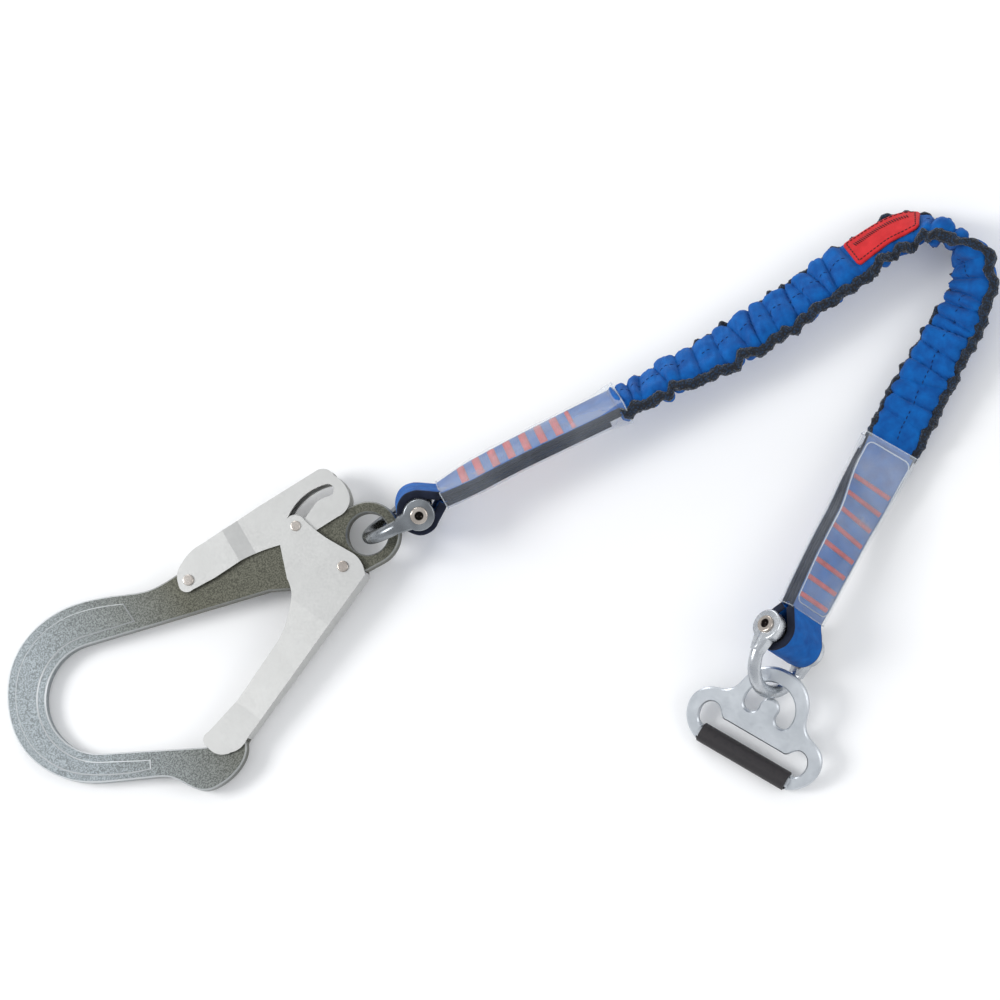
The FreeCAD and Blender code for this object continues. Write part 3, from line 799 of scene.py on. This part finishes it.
def make_ply(end, number, n_mid, half, first, last):
    """One ply of a sewn stack, its middle n_mid out of the strap's, with rippled edges."""
    side = 1 if end == 1 else -1
    a, b = sorted((at_end(end, first), at_end(end, last)))

    def section(s):
        ripple = 0.12 * noise.noise(Vector((s * 0.2, n_mid, end)))
        middle = side * n_mid
        return rounded(-half + ripple, half + ripple, middle - PLY_T / 2, middle + PLY_T / 2, 1.0, 6)
    return sweep(f"webbing_{end}_ply_{number}", a, b, 2.5, section, [BLUE, SELVEDGE], True,
                 edge_strips(section(a), half - 1.25))


def make_stack(end):
    """Three plies of webbing sewn together, the middle one a little narrower."""
    out = PLY_T + 0.1
    plies = [make_ply(end, 1, out, WEB_HALF, LOOP_LEN - 2, SEWN[end]),
             make_ply(end, 2, 0.0, WEB_HALF - 0.5, LOOP_LEN + 2, SEWN[end]),
             make_ply(end, 3, -out, WEB_HALF - 0.1, LOOP_LEN - 2, SEWN[end] - 8)]
    piece(plies[0], "blue_webbing", f"sewn_strap_{end}")
    for ply in plies[1:]:
        piece(ply, "blue_webbing")


def puffed(angle):
    """The loop's radius: it stands off its bush, most of all above and below it."""
    return LOOP_R + 0.8 + 1.8 * abs(math.sin(angle))


def loop_path():
    """The loop's outside from the stack, round the pin and back, as (inward, out of face) pairs."""
    lean = math.acos((LOOP_R - STACK_HALF) / LOOP_LEN)
    touch = puffed(lean)
    flat_spans = 10
    leaving = []
    for i in range(flat_spans):
        t = i / flat_spans
        leaving.append(((LOOP_LEN + 1) * (1 - t) + touch * math.cos(lean) * t,
                        STACK_HALF * (1 - t) + touch * math.sin(lean) * t))
    turn_spans = 40
    round_pin = []
    for i in range(turn_spans + 1):
        a = lean + (2 * math.pi - 2 * lean) * i / turn_spans
        round_pin.append((puffed(a) * math.cos(a), puffed(a) * math.sin(a)))
    coming_back = [(x, -y) for x, y in reversed(leaving)]
    return leaving + round_pin + coming_back


def make_loop(end):
    """Webbing that comes off the stack, rounds the bush and goes back, with soft edges."""
    _, travel, width, face = FRAMES[0] if end == 1 else FRAMES[int(STRAP_LEN / FRAME_STEP)]
    inward = travel if end == 1 else -travel
    pin = LINE[0] if end == 1 else LINE[-1]
    thickness = LOOP_R - BUSH_R + 0.6
    shape = rounded(-WEB_HALF, WEB_HALF, -thickness, 0.0, 1.1, 10)
    path = loop_path()
    within_x = 3.0              # a point inside the loop, which tells its outside
    rings = []
    uvs = []
    gone = 0.0
    for i, (x, y) in enumerate(path):
        before = Vector(path[max(i - 1, 0)])
        after = Vector(path[min(i + 1, len(path) - 1)])
        ahead = (after - before).normalized()
        out = Vector((ahead.y, -ahead.x))
        if out.dot(Vector((x - within_x, y))) < 0:
            out = -out
        gone += (Vector((x, y)) - before).length
        ring = []
        for w, n in shape:
            pucker = 0.35 * noise.noise(Vector((gone * 0.16, w * 0.14, end * 4.0))) if n > -0.5 else 0.0
            wide = w * (1 + 0.02 * noise.noise(Vector((gone * 0.12, end, 2.0))))
            along = x + out.x * (n + pucker)
            off = y + out.y * (n + pucker)
            ring.append(pin + (inward * along + width * wide + face * off) * MM)
            uvs.append((gone * 0.1, w * 0.1))
        rings.append(ring)
    obj = tube_mesh(f"webbing_loop_{end}", rings, [BLUE, SELVEDGE], True, uvs,
                    edge_strips(shape, WEB_HALF - 1.3))
    piece(obj, "blue_webbing", f"loop_{end}")


def make_tacks(end):
    """Bar tacks: dense zigzag thread in bars across both faces."""
    first, pitch, bar = TACKS[end]
    threads = 34
    dashes = []
    for i in range(TACK_BARS):
        s = at_end(end, first + i * pitch)
        # end 1's last bar is about half as long as the others
        length = bar * (0.55 if end == 1 and i == TACK_BARS - 1 else 1.0)
        reach = length if end == 1 else -length
        for side in (1, -1):
            n = side * (STACK_HALF + 0.05)
            for k in range(threads):
                w = -TACK_HALF + 2 * TACK_HALF * k / (threads - 1)
                lean = 0.35 if k % 2 else -0.35
                run = [on_strap(s + reach * t, w + lean * (t - 0.5), n + side * 0.12 * math.sin(math.pi * t))
                       for t in (0, 0.33, 0.67, 1)]
                dashes.append((run, face_normal(s, side)))
    tacks = thread_dashes(f"bar_tacks_{end}", dashes, 0.42, RED_THREAD)
    piece(tacks, "red_thread", f"stitch_bars_{end}")


# ---- clear sleeves ---------------------------------------------------------------------

SLEEVE_FLARE = 16.0             # length of the wider mouth at the sleeve's far end
RIM_R = 0.35


def sleeve_half(end, s):
    """Half thickness of the clear sleeve: loose round the stack, flared at its far end."""
    flare = 1 + 0.42 * smooth((at_end(end, s) - SLEEVE[end][1] + SLEEVE_FLARE) / SLEEVE_FLARE)
    return (STACK_HALF + 0.75) * flare + 0.45 * noise.noise(Vector((s * 0.05, end, 0)))


def sleeve_section(end):
    """A flat tube whose two sides are pinched to thin welded margins."""
    def section(s):
        half_n = sleeve_half(end, s)
        half_w = WEB_HALF + 1.0
        margin = 2.4 + 0.3 * noise.noise(Vector((s * 0.06, end, 3)))
        points = []
        for w, n in rounded(-half_w, half_w, -half_n, half_n, 1.6, 8, 5):
            if abs(w) > half_w - 1.1:
                w = math.copysign(half_w + margin * (1 - abs(n) / half_n), w)
                n = n * 0.45 if abs(w) > half_w + 0.6 else n
            points.append((w, n))
        return points
    return section


def make_welds(end, a, b):
    """Rounded weld line near the border of the sleeve's two faces."""
    half = WEB_HALF - 1.2
    middle = (a + b) / 2
    reach = (b - a) / 2 - 4
    corner = 4.0
    corner_spans = 6
    side_spans = 24
    line = []
    for along, across, start in ((1, 1, 0), (-1, 1, 90), (-1, -1, 180), (1, -1, 270)):
        for i in range(corner_spans + 1):
            x = math.radians(start + 90 * i / corner_spans)
            line.append((middle + along * (reach - corner) + corner * math.cos(x),
                         across * (half - corner) + corner * math.sin(x)))
        if start in (0, 180):
            line += [(middle + along * (reach - corner) * (1 - 2 * i / side_spans), across * half)
                     for i in range(1, side_spans)]
    line.append(line[0])
    runs = []
    for side in (1, -1):
        run = [on_strap(s, w, side * (sleeve_half(end, s) + 0.05)) for s, w in line]
        runs.append((run, face_normal(middle, side)))
    return thread_dashes(f"sleeve_weld_{end}", runs, 0.45, WELD)


def make_rim(name, end, s):
    """Rounded lip of the sleeve's mouth at s."""
    points = [on_strap(s, w, n) for w, n in sleeve_section(end)(s)]
    centre = sum(points, Vector()) / len(points)
    travel = FRAMES[int(s / FRAME_STEP)][1]
    angles = [2 * math.pi * k / 8 for k in range(8)]
    rings = []
    for p in points:
        out = (p - centre).normalized()
        rings.append([p + (out * math.cos(x) + travel * math.sin(x)) * RIM_R * MM for x in angles])
    rings.append(rings[0])
    return tube_mesh(name, rings, [VINYL], False)


def make_sleeve(end):
    a, b = sorted((at_end(end, SLEEVE[end][0]), at_end(end, SLEEVE[end][1])))
    section = sleeve_section(end)
    obj = sweep(f"clear_sleeve_{end}", a, b, 1.5, section, [VINYL, VINYL_EDGE], False,
                edge_strips(section(a), WEB_HALF - 0.5))
    piece(obj, "clear_vinyl", f"sleeve_{end}")
    trims = [make_welds(end, a, b)] if end == 2 else []
    for s in (a, b):
        trims.append(make_rim(f"sleeve_rim_{end}_{len(trims) + 1}", end, s))
    for trim in trims:
        piece(trim, "clear_vinyl")


for end in (1, 2):
    make_stack(end)
    make_loop(end)
    make_tacks(end)
    make_sleeve(end)

cover_path = [on_strap(COVER_START + i * 2.0, 0, 0) for i in range(int((COVER_END - COVER_START) / 2) + 1)]
cover_len = sum((b - a).length for a, b in zip(cover_path, cover_path[1:]))
tuple(cover_path[0])
[tuple(p) for p in cover_path]


# ---- floor, light and world --------------------------------------------------------------

FLOOR_HALF = 3.0
FLOOR_Z = -0.0002
LIGHTS = (                      # name, place, size and power
    ("key", (-1.3, 0.9, 1.5), 0.8, 22.0),
    ("fill", (1.5, -1.0, 1.3), 1.2, 9.0),
    ("strip", (0.2, 1.7, 0.6), 0.7, 6.0),
)


def make_stage():
    material, _, _ = node_material("floor", (0.93, 0.93, 0.93), 0.7)
    corners = [(x * FLOOR_HALF, y * FLOOR_HALF, FLOOR_Z) for x, y in ((-1, -1), (1, -1), (1, 1), (-1, 1))]
    new_mesh("floor", corners, [(0, 1, 2, 3)], [material])
    for name, place, size, power in LIGHTS:
        data = bpy.data.lights.new(name, "AREA")
        data.size = size
        data.energy = power
        light = bpy.data.objects.new(name, data)
        bpy.context.scene.collection.objects.link(light)
        light.location = place
        light.rotation_euler = (-Vector(place)).to_track_quat("-Z", "Y").to_euler()
    world = bpy.data.worlds.new("studio")
    world.use_nodes = True
    background = world.node_tree.nodes["Background"]
    background.inputs["Color"].default_value = (0.95, 0.97, 1.0, 1)
    background.inputs["Strength"].default_value = 0.78
    bpy.context.scene.world = world
    bpy.context.scene.view_settings.view_transform = "Standard"


make_stage()
